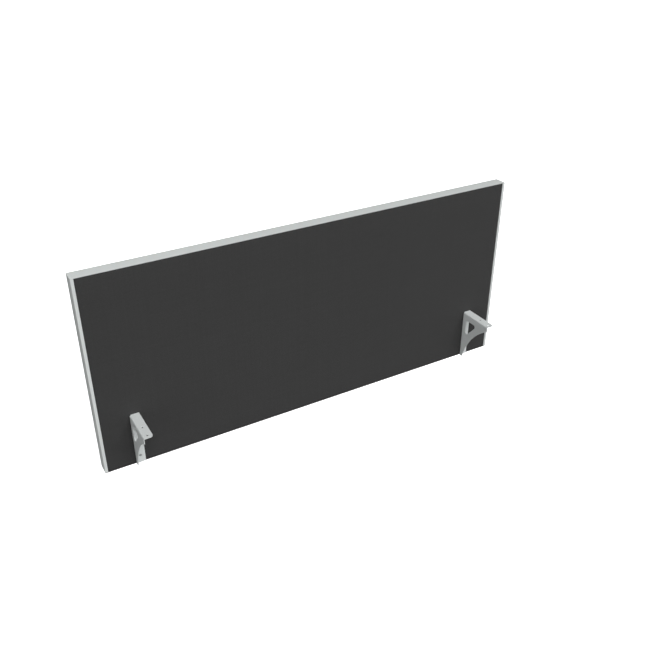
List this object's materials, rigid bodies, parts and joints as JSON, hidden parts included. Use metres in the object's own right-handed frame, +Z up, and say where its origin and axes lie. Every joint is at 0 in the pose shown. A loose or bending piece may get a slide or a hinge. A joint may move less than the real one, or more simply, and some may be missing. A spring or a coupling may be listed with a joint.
{
  "type": "desk privacy panel",
  "caption": "Upholstered desk privacy panel with slim metal edges, hung behind a desk top on two folded steel brackets with a triangular window.",
  "frame": {"origin": "middle of the four desk screw holes, level with the top faces of the two brackets, where the desk top's underside rests", "axes": "+Z up, out of the brackets' top faces; +X along the panel, to the right for someone sitting at the desk; +Y away from the desk, through the panel"},
  "size_m": [1.4, 0.165, 0.62],
  "materials": {
    "silver_aluminium": "satin",
    "mill_aluminium": "satin",
    "dark_plastic": "matte",
    "key_nylon": "matte",
    "zinc_steel": "satin",
    "core_chipboard": "matte",
    "acoustic_foam": "matte",
    "anthracite_fabric": "matte",
    "bracket_paint": "satin",
    "insert_brass": "satin"
  },
  "bodies": {
    "root": {"bottom_cover_strip": "dark_plastic", "bottom_key_screws": "zinc_steel", "bottom_left_corner_key": "key_nylon", "bottom_rail": "mill_aluminium", "bottom_rail_screws": "zinc_steel", "bottom_right_corner_key": "key_nylon", "core_board": "core_chipboard", "front_fabric": "anthracite_fabric", "front_foam": "acoustic_foam", "left_bracket": "bracket_paint", "left_bracket_inserts": "insert_brass", "left_bracket_screws": "zinc_steel", "left_bracket_sleeves": "mill_aluminium", "left_side_profile": "silver_aluminium", "rear_fabric": "anthracite_fabric", "rear_foam": "acoustic_foam", "right_bracket": "bracket_paint", "right_bracket_inserts": "insert_brass", "right_bracket_screws": "zinc_steel", "right_bracket_sleeves": "mill_aluminium", "right_side_profile": "silver_aluminium", "top_cover_strip": "silver_aluminium", "top_key_screws": "zinc_steel", "top_left_corner_key": "key_nylon", "top_rail": "mill_aluminium", "top_rail_screws": "zinc_steel", "top_right_corner_key": "key_nylon"}
  },
  "joints": []
}
